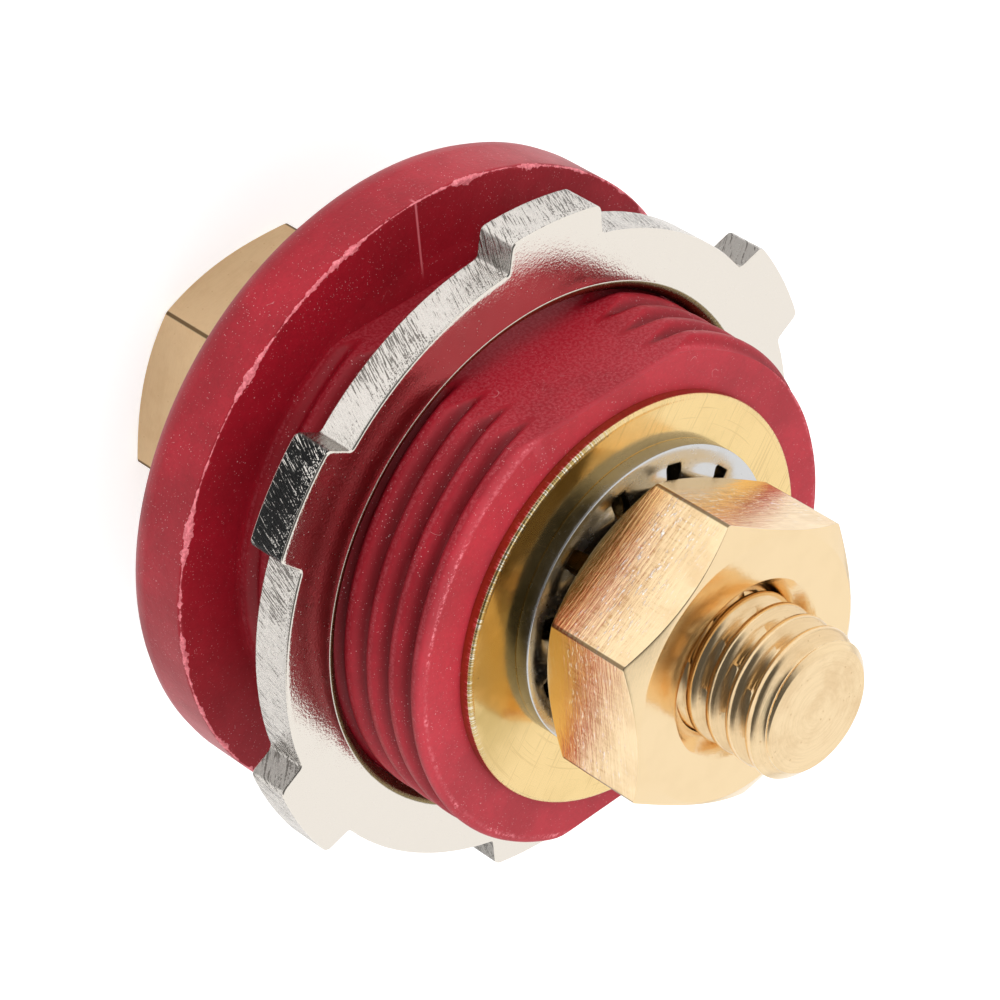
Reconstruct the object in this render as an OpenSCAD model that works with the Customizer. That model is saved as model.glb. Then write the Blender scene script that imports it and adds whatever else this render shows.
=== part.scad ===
// Panel-mount binding post. A brass stud bolt runs through a moulded insulator. The insulator's
// double-D barrel passes through a panel, which its flange and a lobed locknut clamp between them.
// A flat washer, an internal-tooth lock washer and a hex nut close the stack on the stud.
// Z is the bolt's axis, with the stud pointing up. X runs along the barrel's two flats.
// The origin is the centre of the hex head's end face, on which the post stands.

/* [Stud bolt] */
// Major diameter of the stud's thread
stud_d = 9.5; // [7:0.1:12]
// Length of stud that stands proud of the hex nut
stud_proud = 5.65; // [2:0.05:15]
// Chamfer on the end of the stud
stud_chamfer = 0.8; // [0.2:0.1:1.5]
// Width across the flats of the bolt's head
head_af = 17.8; // [14:0.1:24]
// Height of the bolt's head
head_h = 13.5; // [5:0.1:20]
// Angle of a corner of the head from the X axis
head_turn = 8; // [0:1:59]

/* [Hex nut] */
// Width across the flats of the nut
nut_af = 17.8; // [14:0.1:24]
// Height of the nut
nut_h = 7.7; // [4:0.1:12]
// Angle of a corner of the nut from the X axis
nut_turn = 30; // [0:1:59]
// Width of the countersink beside the nut's thread
countersink_w = 1.1; // [0.3:0.1:1.6]
// Depth to which a chamfer cuts the corners of a hexagon
corner_drop = 0.9; // [0.3:0.1:1.5]

/* [Insulator] */
// Diameter of the barrel over its thread
barrel_d = 33.4; // [26:0.1:42]
// Length of the barrel in front of the flange
barrel_len = 16; // [12:0.1:25]
// Depth of each of the barrel's two flats
flat_depth = 1.7; // [0.5:0.1:2.5]
// Chamfer around the barrel's front face
barrel_edge = 0.3; // [0.1:0.05:1]
// Pitch of the barrel's thread
thread_pitch = 1.93; // [1.2:0.01:3]
// Depth of the barrel's thread
thread_depth = 0.8; // [0.3:0.05:1.2]
// Length of plain barrel between the flange and the thread
thread_neck = 1.2; // [0.6:0.1:3]
// Height over the flange at which a crest of the thread crosses the X axis
thread_start = 1.1; // [0:0.05:3]
// Width of the flange around the barrel
flange_lip = 4.6; // [3:0.1:9]
// Thickness of the flange
flange_t = 5.4; // [4:0.1:9]
// Radius of the flange's rear edge
flange_edge_r = 2; // [0.5:0.1:3]

/* [Locknut] */
// Thickness of the locknut
locknut_t = 2.85; // [2:0.05:4.5]
// Width of the locknut's ring
locknut_ring_w = 4.1; // [3:0.1:7]
// Height of a lobe over the ring
lobe_h = 1.9; // [0.8:0.1:3]
// Width of a lobe where it leaves the ring
lobe_root_w = 7.5; // [4:0.1:10]
// Width of a lobe at its tip
lobe_tip_w = 7.1; // [3:0.1:10]
// Number of lobes
lobe_count = 6; // [4:1:8]
// Angle of a lobe from the X axis
locknut_turn = 22.6; // [0:0.1:60]
// Bevel at each mouth of the locknut's bore
locknut_bevel = 0.5; // [0.2:0.1:0.9]
// Panel gap left open between the flange and the locknut
panel_gap = 6.3; // [0.5:0.1:9]

/* [Washers] */
// Distance from the barrel's crest in to the flat washer's rim
washer_inset = 3.2; // [2:0.1:6]
// Thickness of the flat washer
washer_t = 0.8; // [0.5:0.05:1.5]
// Radius of the flat washer's front edge
washer_edge_r = 0.2; // [0.05:0.05:0.4]
// Diameter of the lock washer
lock_d = 19.9; // [19.5:0.1:24]
// Thickness of the lock washer's metal
lock_t = 1; // [0.6:0.05:1.4]
// Width of the lock washer's plain ring
lock_band = 1.45; // [1:0.05:1.6]
// Number of teeth on the lock washer
tooth_count = 12; // [8:1:14]
// Width of a tooth where it leaves the ring
tooth_root_w = 3.3; // [1.6:0.1:3.4]
// Width of a tooth at its tip
tooth_tip_w = 2.1; // [1:0.1:2.2]
// Angle by which a tooth is twisted out of the washer's plane
tooth_twist = 11; // [6:1:18]
// Angle of a tooth from the X axis
tooth_turn = 27; // [0:1:36]
// Distance by which the loose lock washer lies off the stud's axis
lock_shift = 0.75; // [0:0.05:0.8]
// Direction in which it lies off, from the X axis
lock_shift_turn = 73; // [0:1:359]

/* [Fits] */
// Radial running gap of the nut on the stud, and of the locknut on the barrel
run_gap = 0.05; // [0.02:0.01:0.1]
// Radial gap around the stud in the insulator and the flat washer
pass_gap = 0.25; // [0.15:0.05:0.4]
// Radial gap between the stud and the tips of the lock washer's teeth, when centred
tooth_gap = 0.95; // [0.85:0.05:1.2]
// Gap between the lock washer's teeth and the nut
seat_gap = 0.05; // [0.02:0.01:0.1]

/* [Hidden] */
$fn = 96;

// The thread's facets around the barrel and along one turn
thread_sides = 48;
thread_rows = 6;
// The thread's crests lie this far inside the neck's radius, and its core starts inside the neck
neck_step = 0.03;
neck_root = 0.5;

eps = 0.01;
hex_slope = tan(30);
red = [0.62, 0.13, 0.20];
brass = [0.86, 0.68, 0.36];
nickel = [0.80, 0.78, 0.74];
steel = [0.52, 0.52, 0.53];

stud_r = stud_d / 2;
barrel_r = barrel_d / 2;
flange_r = barrel_r + flange_lip;
barrel_af = barrel_d - 2 * flat_depth;
pass_r = stud_r + pass_gap;
nut_bore_r = stud_r + run_gap;

flange_z = head_h;
seat_z = flange_z + flange_t;
face_z = seat_z + barrel_len;
lock_z = face_z + washer_t;
tooth_rise = tooth_root_w * sin(tooth_twist) + lock_t * cos(tooth_twist);
nut_z = lock_z + tooth_rise + seat_gap;
stud_end_z = nut_z + nut_h + stud_proud;
locknut_z = seat_z + panel_gap;

washer_r = barrel_r - washer_inset;
locknut_bore_r = barrel_r + run_gap;
locknut_root_r = locknut_bore_r + locknut_ring_w;
lobe_r = locknut_root_r + lobe_h;

// A hexagonal prism on z = 0 whose corners are chamfered at the faces that are asked for
module hexagon(af, h, turn, bottom, top) {
    corner_r = af / sqrt(3);
    outer_r = corner_r + 1;
    face_r = corner_r - corner_drop / hex_slope;
    cone_h = (outer_r - face_r) * hex_slope;
    low = bottom ? cone_h : 0;
    high = top ? cone_h : 0;
    intersection() {
        rotate(turn) cylinder(h = h, r = corner_r, $fn = 6);
        rotate_extrude() polygon([
            [0, 0],
            [bottom ? face_r : outer_r, 0],
            [outer_r, low],
            [outer_r, h - high],
            [top ? face_r : outer_r, h],
            [0, h]
        ]);
    }
}

// The bolt: a tall hexagonal head, turned down to the stud
module stud_bolt() {
    stud_len = stud_end_z - head_h;
    color(brass) union() {
        hexagon(head_af, head_h, head_turn, true, false);
        translate([0, 0, head_h - eps])
            cylinder(h = stud_len + eps - stud_chamfer, r = stud_r);
        translate([0, 0, stud_end_z - stud_chamfer])
            cylinder(h = stud_chamfer, r1 = stud_r, r2 = stud_r - stud_chamfer);
    }
}

// The flange's disc with its rounded rear edge
module flange() {
    translate([0, 0, flange_z]) rotate_extrude() union() {
        translate([0, flange_edge_r]) square([flange_r, flange_t - flange_edge_r]);
        square([flange_r - flange_edge_r, flange_t]);
        translate([flange_r - flange_edge_r, flange_edge_r]) circle(r = flange_edge_r);
    }
}

// Depth of the barrel's right-hand thread at angle a and height z above the flange: rounded
// crests, narrower valleys, fading in over one turn in front of the plain neck
function thread_cut(a, z) =
    thread_depth * min(1, max(0, (z - thread_neck) / thread_pitch))
    * pow((1 - cos(360 * (z - thread_start) / thread_pitch - a)) / 2, 1.5);

// Radius of the barrel there, which the chamfer on its front limits
function barrel_skin(a, z) =
    min(barrel_r - neck_step - thread_cut(a, z), barrel_r - barrel_edge + barrel_len - z);

// The threaded stretch of the barrel, as rings of points stacked from inside the neck to the front
module thread_core() {
    low = thread_neck - neck_root;
    foot_z = barrel_len - barrel_edge;
    turns_len = foot_z - low;
    rows = ceil(turns_len / thread_pitch * thread_rows);
    heights = concat([for (j = [0:rows]) low + turns_len * j / rows], [barrel_len]);
    step = 360 / thread_sides;
    points = [
        for (z = heights) for (i = [0:thread_sides - 1]) let (a = i * step, r = barrel_skin(a, z))
            [r * cos(a), r * sin(a), z]
    ];
    walls = [
        for (j = [0:rows]) for (i = [0:thread_sides - 1]) let (
            base = j * thread_sides,
            above = base + thread_sides,
            next = (i + 1) % thread_sides
        ) [base + i, above + i, above + next, base + next]
    ];
    foot = [for (i = [0:thread_sides - 1]) i];
    head = [for (i = [thread_sides - 1:-1:0]) (rows + 1) * thread_sides + i];
    polyhedron(points, concat([foot], walls, [head]));
}

// The barrel: a plain neck and a thread, which two flats that face +Y and -Y cut away
module barrel() {
    translate([0, 0, seat_z - eps]) intersection() {
        union() {
            cylinder(h = thread_neck + eps, r = barrel_r);
            translate([0, 0, eps]) thread_core();
        }
        translate([-barrel_r - 1, -barrel_af / 2, 0])
            cube([barrel_d + 2, barrel_af, barrel_len + 1]);
    }
}

// The moulded insulator: flange and barrel in one, bored for the stud
module insulator() {
    color(red) difference() {
        union() {
            flange();
            barrel();
        }
        translate([0, 0, flange_z - 1])
            cylinder(h = flange_t + barrel_len + 2, r = pass_r);
    }
}

// The outline of the locknut: a ring with nearly parallel-sided lobes
module locknut_outline() {
    union() {
        circle(r = locknut_root_r);
        for (i = [0:lobe_count - 1]) rotate(locknut_turn + i * 360 / lobe_count)
            intersection() {
                circle(r = lobe_r);
                polygon([
                    [locknut_root_r - 1, -lobe_root_w / 2],
                    [lobe_r + 1, -lobe_tip_w / 2],
                    [lobe_r + 1, lobe_tip_w / 2],
                    [locknut_root_r - 1, lobe_root_w / 2]
                ]);
            }
    }
}

// The locknut, stamped from plate, with a bevel at each end of its bore
module locknut() {
    bevel_r = locknut_bore_r + locknut_bevel;
    color(nickel) translate([0, 0, locknut_z]) difference() {
        linear_extrude(locknut_t) locknut_outline();
        translate([0, 0, -1]) cylinder(h = locknut_t + 2, r = locknut_bore_r);
        translate([0, 0, -eps])
            cylinder(h = locknut_bevel + eps, r1 = bevel_r + eps, r2 = locknut_bore_r);
        translate([0, 0, locknut_t - locknut_bevel])
            cylinder(h = locknut_bevel + eps, r1 = locknut_bore_r, r2 = bevel_r + eps);
    }
}

// The flat brass washer, with its front edge rolled over
module flat_washer() {
    color(brass) translate([0, 0, face_z]) rotate_extrude() union() {
        translate([pass_r, 0]) square([washer_r - pass_r, washer_t - washer_edge_r]);
        translate([pass_r, 0]) square([washer_r - pass_r - washer_edge_r, washer_t]);
        translate([washer_r - washer_edge_r, washer_t - washer_edge_r])
            circle(r = washer_edge_r, $fn = 32);
    }
}

// One tooth of the lock washer, along +X, twisted about its own length with its low edge on z = 0
module lock_tooth() {
    band_r = lock_d / 2 - lock_band;
    tip_r = stud_r + tooth_gap;
    translate([0, 0, tooth_root_w / 2 * sin(tooth_twist)])
        rotate([-tooth_twist, 0, 0])
            linear_extrude(lock_t)
                polygon([
                    [tip_r, -tooth_tip_w / 2],
                    [band_r + lock_band / 3, -tooth_root_w / 2],
                    [band_r + lock_band / 3, tooth_root_w / 2],
                    [tip_r, tooth_tip_w / 2]
                ]);
}

// The lock washer: a plain ring with twisted teeth inside it, lying off centre in its play
module lock_washer() {
    band_r = lock_d / 2 - lock_band;
    shift = [lock_shift * cos(lock_shift_turn), lock_shift * sin(lock_shift_turn), lock_z];
    color(steel) translate(shift) union() {
        difference() {
            cylinder(h = lock_t, r = lock_d / 2);
            translate([0, 0, -1]) cylinder(h = lock_t + 2, r = band_r);
        }
        for (i = [0:tooth_count - 1]) rotate(tooth_turn + i * 360 / tooth_count) lock_tooth();
    }
}

// The hex nut, chamfered and countersunk at both ends
module hex_nut() {
    sink_r = nut_bore_r + countersink_w;
    color(brass) translate([0, 0, nut_z]) difference() {
        hexagon(nut_af, nut_h, nut_turn, true, true);
        translate([0, 0, -1]) cylinder(h = nut_h + 2, r = nut_bore_r);
        translate([0, 0, -eps])
            cylinder(h = countersink_w + eps, r1 = sink_r + eps, r2 = nut_bore_r);
        translate([0, 0, nut_h - countersink_w])
            cylinder(h = countersink_w + eps, r1 = nut_bore_r, r2 = sink_r + eps);
    }
}

insulator();
stud_bolt();
locknut();
flat_washer();
lock_washer();
hex_nut();
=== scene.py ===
"""A panel-mount binding post: a brass stud bolt through a threaded red moulding, with its lobed
locknut, flat washer, toothed lock washer and hex nut."""

import math

import bmesh
import bpy
import numpy as np
from mathutils import Matrix, Vector


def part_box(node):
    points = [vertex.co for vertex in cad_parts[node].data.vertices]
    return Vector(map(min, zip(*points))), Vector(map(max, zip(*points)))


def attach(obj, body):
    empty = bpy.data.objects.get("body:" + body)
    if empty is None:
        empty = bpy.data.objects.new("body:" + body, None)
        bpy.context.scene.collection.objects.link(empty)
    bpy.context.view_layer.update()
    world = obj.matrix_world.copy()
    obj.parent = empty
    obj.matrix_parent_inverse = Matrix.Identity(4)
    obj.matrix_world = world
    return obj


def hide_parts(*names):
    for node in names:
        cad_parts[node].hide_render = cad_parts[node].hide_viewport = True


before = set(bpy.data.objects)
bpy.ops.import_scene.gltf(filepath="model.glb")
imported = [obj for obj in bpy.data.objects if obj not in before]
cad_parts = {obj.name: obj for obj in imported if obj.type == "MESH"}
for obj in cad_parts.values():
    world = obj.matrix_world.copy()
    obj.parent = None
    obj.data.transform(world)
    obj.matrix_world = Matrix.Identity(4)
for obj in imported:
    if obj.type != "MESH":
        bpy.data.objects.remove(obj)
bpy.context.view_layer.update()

bl_info = {
    "name": "Binding post",
    "version": (1, 0, 0),
    "blender": (4, 5, 0),
    "location": "View3D > Sidebar > Binding post",
    "description": "Builds a panel-mount binding post piece by piece",
    "category": "Add Mesh",
}

MM = 0.001
SPREAD = 0.15 * MM  # width of the narrow faces that keep flat faces flat beside a rounded edge
WELD = 1e-7  # distance below which two vertices are one
SHARP = math.radians(50)  # edges that turn by more stay sharp
CHAMFER = math.tan(math.radians(30))  # slope of a hexagon's chamfer

# Colours that belong to one kind of wear
FRONT_TINT = (0.62, 0.16, 0.18)        # paler red over the barrel's front face
DUST = (0.82, 0.56, 0.56)        # dust and fibres on the moulding
WASHER_REFLECTION = (0.93, 0.60, 0.20)  # painted reflection of the flat washer at the rear of the nut's flats
GLINT = (1.0, 0.95, 0.88)        # painted glints in the nut's flats
BARE_STEEL = (0.22, 0.20, 0.18)  # streaks torn through the plate
DARK_REFLECTION = (0.012, 0.012, 0.012)  # painted dark reflection in one lobe's streaks
FLANK_SHADE = (0.10, 0.09, 0.08)       # painted shade on the flanks of the lobes
BORE_SHADE = (0.30, 0.22, 0.09)       # painted shade at the locknut's bore
PALE_PIT = (0.97, 0.94, 0.88)    # pits in the plate
SCRATCH = (0.60, 0.42, 0.18)     # scratches on the flat washer
SPOT = (0.16, 0.10, 0.05)        # dark spots on the flat washer
NICK = (1.0, 0.95, 0.78)         # bright nicks on the flat washer's rim
PALE_SPECK = (0.92, 0.90, 0.87)  # specks on the lock washer
DARK_SPECK = (0.30, 0.29, 0.28)
TOOTH_WALL = (0.22, 0.21, 0.20)  # punched walls of the lock washer


# ---------------------------------------------------------------- measures from the frame


def axis_of(node):
    """Centre of a node, seen along the axis"""
    low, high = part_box(node)
    return (low.x + high.x) / 2, (low.y + high.y) / 2


def corners_of(node, centre=(0.0, 0.0)):
    """Distance from an upright axis, height and depth of every vertex of a CAD node"""
    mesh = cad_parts[node].data
    flat = np.zeros(len(mesh.vertices) * 3)
    mesh.vertices.foreach_get("co", flat)
    x, y, z = flat.reshape(-1, 3).T
    return np.hypot(x - centre[0], y - centre[1]), z, y


def reach(node, low, high):
    """Largest distance from the axis between two heights"""
    radius, z, _ = corners_of(node)
    return float(radius[(z >= low) & (z <= high)].max())


def throat(node):
    """Smallest distance from the axis"""
    return float(corners_of(node)[0].min())


def ends(node):
    """Lowest and highest height of a node"""
    low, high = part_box(node)
    return low.z, high.z


flange_z, face_z = ends("insulator")
_, stud_end = ends("stud_bolt")
nut_z, nut_top = ends("hex_nut")
locknut_z, locknut_top = ends("locknut")
washer_z, washer_top = ends("flat_washer")
lock_z, _ = ends("lock_washer")
flange_r = reach("insulator", flange_z, face_z)
_radius, _height, _across = corners_of("insulator")
seat_z = float(_height[_radius > flange_r - 0.1 * MM].max())
barrel_r = reach("insulator", seat_z + MM, face_z)
barrel_flat = float(np.abs(_across[_height > seat_z + MM]).max())
hole_r = throat("insulator")
stud_r = reach("stud_bolt", nut_top, stud_end - 0.5 * MM)
stud_tip_r = reach("stud_bolt", stud_end - 0.01 * MM, stud_end)
head_corner_r = reach("stud_bolt", 0.0, flange_z)
nut_corner_r = reach("hex_nut", nut_z, nut_top)
nut_bore_r = throat("hex_nut")
washer_r = reach("flat_washer", washer_z, washer_top)
washer_hole_r = throat("flat_washer")
lock_centre = axis_of("lock_washer")
_radius, _, _ = corners_of("lock_washer", lock_centre)
lock_r, tooth_tip_r = float(_radius.max()), float(_radius.min())
locknut_bore_r = throat("locknut")
lobe_r = reach("locknut", locknut_z, locknut_top)


# ---------------------------------------------------------------- what a user may change


def number(name, description, default, **settings):
    return bpy.props.FloatProperty(name=name, description=description, default=default,
                                   min=0.0, **settings)


def length(name, description, millimetres):
    return number(name, description, millimetres * MM, unit="LENGTH", precision=5)


def angle(name, description, degrees):
    return bpy.props.FloatProperty(name=name, description=description,
                                   default=math.radians(degrees), subtype="ANGLE")


def count(name, description, default):
    return bpy.props.IntProperty(name=name, description=description, default=default, min=1)


def colour(name, description, red, green, blue):
    return bpy.props.FloatVectorProperty(name=name, description=description, subtype="COLOR",
                                         default=(red, green, blue), min=0.0, max=1.0)


class PostMoulding(bpy.types.PropertyGroup):
    """The red moulding"""
    pitch: length("Thread pitch", "Distance between two turns of the barrel's thread", 1.93)
    depth: length("Thread depth", "Depth of the barrel's thread", 0.8)
    crest: length("First crest", "Height of a crest over the flange, on the X axis", 1.1)
    blend: length("Run-out", "Softness with which the thread runs out on the flats", 0.35)
    rim: length("Rim radius", "Rounding of the barrel's front edge", 0.45)
    back: length("Back radius", "Rounding of the flange's rear edge", 2.0)
    flash: length("Flash", "Width of the torn flash round the flange", 0.32)
    red: colour("Red", "Body of the moulding", 0.370, 0.007, 0.020)
    # The dark red also paints shade over the thread and at the flange's recess
    dark: colour("Dark red", "Patches where the moulding is denser", 0.150, 0.002, 0.006)
    scuffed: colour("Scuffed", "Rubbed crests, edges and flash", 0.72, 0.20, 0.23)


class PostBrass(bpy.types.PropertyGroup):
    """The bolt and the nut"""
    pitch: length("Thread pitch", "Pitch of the stud's thread", 1.5875)
    depth: length("Thread depth", "Depth of the stud's thread", 0.72)
    crest: length("Last crest", "Depth of a crest below the stud's end, on the X axis", 1.79)
    slack: length("Slack", "Gap between the threads of nut and stud", 0.07)
    head_turn: angle("Head turn", "Angle of a corner of the bolt's head from the X axis", 8.0)
    nut_turn: angle("Nut turn", "Angle of a corner of the nut from the X axis", 30.0)
    drop: length("Corner drop", "Depth of the chamfer at a corner", 0.9)
    edge: length("Edge radius", "Rounding of the corners between two flats", 0.14)
    sink: length("Countersink", "Width of the countersink over the nut's bore", 1.1)
    gold: colour("Brass", "Freshly turned brass", 0.96, 0.74, 0.45)
    worn: colour("Worn brass", "Brass that has darkened", 0.62, 0.38, 0.17)
    # Dull brass also paints shade over the head, which sits behind the flange
    dull: colour("Dull brass", "Tarnish over the head", 0.80, 0.58, 0.32)
    line: colour("Corner line", "Dark line along a hexagon's corners", 0.09, 0.05, 0.02)


class PostLocknut(bpy.types.PropertyGroup):
    """The lobed locknut"""
    lobes: count("Lobes", "Number of lobes", 6)
    turn: angle("Turn", "Angle of a lobe from the X axis", 22.6)
    lobe_h: length("Lobe height", "Height of a lobe over the ring", 1.9)
    root_w: length("Lobe root", "Width of a lobe at the ring", 7.5)
    tip_w: length("Lobe tip", "Width of a lobe at its tip", 7.1)
    corner: length("Lobe corner", "Rounding of a lobe's tip", 0.5)
    roll: length("Rolled edge", "Rounding that the press left on the front edge", 0.14)
    bevel: length("Bore bevel", "Bevel at each mouth of the bore", 0.5)
    nickel: colour("Nickel", "Nickel plate", 0.86, 0.80, 0.72)
    sheared: colour("Sheared edge", "Plate on the sheared edge", 0.74, 0.70, 0.65)
    # Painted dark reflection: the lobe at this angle gets more streaks, and black ones, on its edge
    dark_reflection_turn: angle("Rubbed lobe", "Angle of the lobe whose plate is rubbed off", 142.6)


class PostWashers(bpy.types.PropertyGroup):
    """The flat washer and the lock washer"""
    roll: length("Rolled edge", "Rounding of the flat washer's front edge", 0.2)
    band: length("Ring", "Width of the lock washer's plain ring", 1.1)
    gauge: length("Gauge", "Thickness of the lock washer's metal", 1.0)
    teeth: count("Teeth", "Number of teeth", 12)
    root_w: length("Tooth root", "Width of a tooth at the ring", 3.5)
    tip_w: length("Tooth tip", "Width of a tooth at its tip", 2.1)
    twist: angle("Tooth twist", "Angle of a tooth out of the washer's plane", 11.0)
    turn: angle("Tooth turn", "Angle of a tooth from the X axis", 27.0)
    gold: colour("Washer brass", "Polished rolled brass", 0.95, 0.70, 0.33)
    # This brown also paints a dark reflection of the nut over one side of the washer
    tarnish_and_reflection: colour("Tarnish", "Brown stain on the flat washer", 0.50, 0.34, 0.10)
    copper: colour("Sheared brass", "Brass on the washer's sheared edge", 0.42, 0.20, 0.10)
    steel: colour("Spring steel", "Plated spring steel", 0.68, 0.68, 0.68)


class PostStage(bpy.types.PropertyGroup):
    """Camera, lamps and floor"""
    azimuth: angle("Azimuth", "Direction of view round the post", 219.3)
    elevation: angle("Elevation", "Height of the view over the floor", 37.16)
    roll: angle("Roll", "Turn of the camera about its own axis", 121.17)
    distance: length("Distance", "Distance of the camera", 273.5)
    lens: number("Focal length", "Lens of the camera", 164.84, unit="CAMERA")
    aim: bpy.props.FloatVectorProperty(name="Aim", description="Point that the camera looks at",
                                       default=(-2.9 * MM, 5.1 * MM, 27.5 * MM),
                                       subtype="TRANSLATION", unit="LENGTH")
    key: number("Key lamp", "Power of the lamp on the camera's side", 6.2, unit="POWER")
    side: number("Side lamp", "Power of the lamp at the post's side", 4.6, unit="POWER")
    fill: number("Fill lamp", "Power of the lamp overhead", 5.2, unit="POWER")
    ambient: number("Ambient", "Light from all round", 0.4)
    opening: number("Opening", "Brightness of the tent's open side in metal", 0.11)
    open_turn: angle("Open side", "Direction of the tent's open side round the post", 240.0)
    floor: colour("Floor", "Colour of the floor", 0.62, 0.62, 0.62)


# ---------------------------------------------------------------- node trees


class Wiring:
    """Places and joins the nodes of one tree"""

    def __init__(self, tree):
        self.tree = tree

    def feed(self, socket, value):
        if isinstance(value, bpy.types.NodeSocket):
            self.tree.links.new(value, socket)
        else:
            socket.default_value = value

    def node(self, kind, sockets=None, **settings):
        node = self.tree.nodes.new(kind)
        for key, value in settings.items():
            setattr(node, key, value)
        for key, value in (sockets or {}).items():
            self.feed(node.inputs[key], value)
        return node

    def get(self, kind, sockets=None, output=0, **settings):
        """One output of a new node"""
        return self.node(kind, sockets, **settings).outputs[output]

    def coordinates(self, kind="Object"):
        return self.get("ShaderNodeTexCoord", output=kind)

    def math(self, operation, *values):
        return self.get("ShaderNodeMath", dict(enumerate(values)), operation=operation)

    def times(self, product, *others):
        """The product of all values"""
        for value in others:
            product = self.math("MULTIPLY", product, value)
        return product

    def scaled(self, value, factor, offset):
        """value times factor, plus offset"""
        return self.math("MULTIPLY_ADD", value, factor, offset)

    def most(self, first, second):
        return self.math("MAXIMUM", first, second)

    def hypot(self, x, y):
        return self.math("SQRT", self.math("ADD", self.times(x, x), self.times(y, y)))

    def dot(self, first, second):
        return self.get("ShaderNodeVectorMath", {0: first, 1: second}, "Value",
                        operation="DOT_PRODUCT")

    def parts(self, vector):
        """The three numbers in a vector"""
        outputs = self.node("ShaderNodeSeparateXYZ", {0: vector}).outputs
        return outputs[0], outputs[1], outputs[2]

    def vector(self, x=0.0, y=0.0, z=0.0):
        return self.get("ShaderNodeCombineXYZ", {0: x, 1: y, 2: z})

    def spread(self, value, low, high, start=0.0, end=1.0):
        """value carried smoothly from low..high to start..end"""
        sockets = {"Value": value, 1: low, 2: high, 3: start, 4: end}
        return self.get("ShaderNodeMapRange", sockets, interpolation_type="SMOOTHSTEP",
                        data_type="FLOAT")


SOCKETS = {float: "NodeSocketFloat", int: "NodeSocketInt", tuple: "NodeSocketVector"}


def new_tree(name, kind, inputs, outputs):
    """A node tree, its wiring and its ends. Every input has a default or, as text, the kind of
    its socket; every output has the kind of its socket."""
    tree = bpy.data.node_groups.new(name, kind)
    for title, given in inputs.items():
        typed = isinstance(given, str)
        made = tree.interface.new_socket(name=title, in_out="INPUT",
                                         socket_type=given if typed else SOCKETS[type(given)])
        if not typed:
            made.default_value = given
    for title, socket in outputs.items():
        tree.interface.new_socket(name=title, in_out="OUTPUT", socket_type=socket)
    wiring = Wiring(tree)
    return tree, wiring, wiring.node("NodeGroupInput").outputs, wiring.node("NodeGroupOutput")


def shape_tree(name, inputs):
    """A geometry tree that takes a shape, a material and the inputs"""
    return new_tree(name, "GeometryNodeTree", {"Geometry": "NodeSocketGeometry",
                                               "Material": "NodeSocketMaterial", **inputs},
                    {"Geometry": "NodeSocketGeometry"})


def hand_over(w, given, end, geometry):
    """Ends a geometry tree with real geometry in its material"""
    real = w.get("GeometryNodeRealizeInstances", {0: geometry})
    w.feed(end.inputs[0], w.get("GeometryNodeSetMaterial",
                                {"Geometry": real, "Material": given["Material"]}))


def keep_evaluated(piece):
    """Makes the modified shape the piece's own mesh and removes its modifiers"""
    bpy.context.view_layer.update()
    graph = bpy.context.evaluated_depsgraph_get()
    mesh = bpy.data.meshes.new_from_object(piece.evaluated_get(graph),
                                           preserve_all_data_layers=True, depsgraph=graph)
    piece.modifiers.clear()
    piece.data = mesh


def apply_tree(piece, tree, values):
    """Runs a geometry tree on a piece once and keeps the result as its plain mesh"""
    modifier = piece.modifiers.new(tree.name, "NODES")
    modifier.node_group = tree
    for socket in tree.interface.items_tree:
        if socket.in_out == "INPUT" and socket.name in values:
            modifier[socket.identifier] = values[socket.name]
    keep_evaluated(piece)


def screw_tree():
    """Cuts a helical thread into a turned surface: outside it lowers the crest, in a bore it
    leaves the thread standing. Two flats may cross it."""
    tree, w, given, end = shape_tree("Screw thread", {
        "Crest Radius": 0.01, "Pitch": 0.001, "Depth": 0.001, "Crest Height": 0.0, "Start": 0.0,
        "Run-in": 0.001, "Fullness": 1.7, "Blend": 0.0001, "Flat": 1.0, "Internal": 0.0,
    })
    x, y, z = w.parts(w.get("GeometryNodeInputPosition"))
    radius = w.hypot(x, y)
    turn = w.math("DIVIDE", w.math("ARCTAN2", y, x), 2 * math.pi)
    rise = w.math("DIVIDE", w.math("SUBTRACT", z, given["Crest Height"]), given["Pitch"])
    phase = w.times(w.math("SUBTRACT", rise, turn), 2 * math.pi)
    wave = w.scaled(w.math("COSINE", phase), -0.5, 0.5)
    full = w.math("ADD", given["Start"], given["Run-in"])
    valley = w.times(w.math("POWER", wave, given["Fullness"]), w.spread(z, given["Start"], full))
    thread = w.math("SUBTRACT", given["Crest Radius"], w.times(valley, given["Depth"]))
    tiny = 1e-7
    chord = w.math("DIVIDE", w.times(given["Flat"], radius),
                   w.most(w.math("ABSOLUTE", y), tiny))
    soft = w.times(given["Blend"], 0.3)
    outside = w.math("SMOOTH_MIN", thread, chord, given["Blend"])
    chosen = w.get("GeometryNodeSwitch", {
        "False": w.math("SMOOTH_MIN", radius, outside, soft),
        "True": w.math("SMOOTH_MAX", radius, thread, soft),
        "Switch": w.math("GREATER_THAN", given["Internal"], 0.5),
    }, input_type="FLOAT")
    scale = w.math("DIVIDE", chosen, w.most(radius, tiny))
    above = w.math("GREATER_THAN", z, given["Start"])
    cut = w.get("GeometryNodeSetPosition", {
        "Geometry": given["Geometry"], "Selection": above,
        "Position": w.vector(w.times(x, scale), w.times(y, scale), z),
    })
    bare = w.spread(w.math("SUBTRACT", thread, chord), w.times(given["Blend"], -0.5),
                    given["Blend"], 1.0, 0.0)
    crest = w.times(w.math("SUBTRACT", 1.0, w.times(valley, bare)), above)
    marked = w.get("GeometryNodeStoreNamedAttribute",
                   {"Geometry": cut, "Name": "crest", "Value": crest},
                   data_type="FLOAT", domain="POINT")
    hand_over(w, given, end, marked)
    return tree


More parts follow.
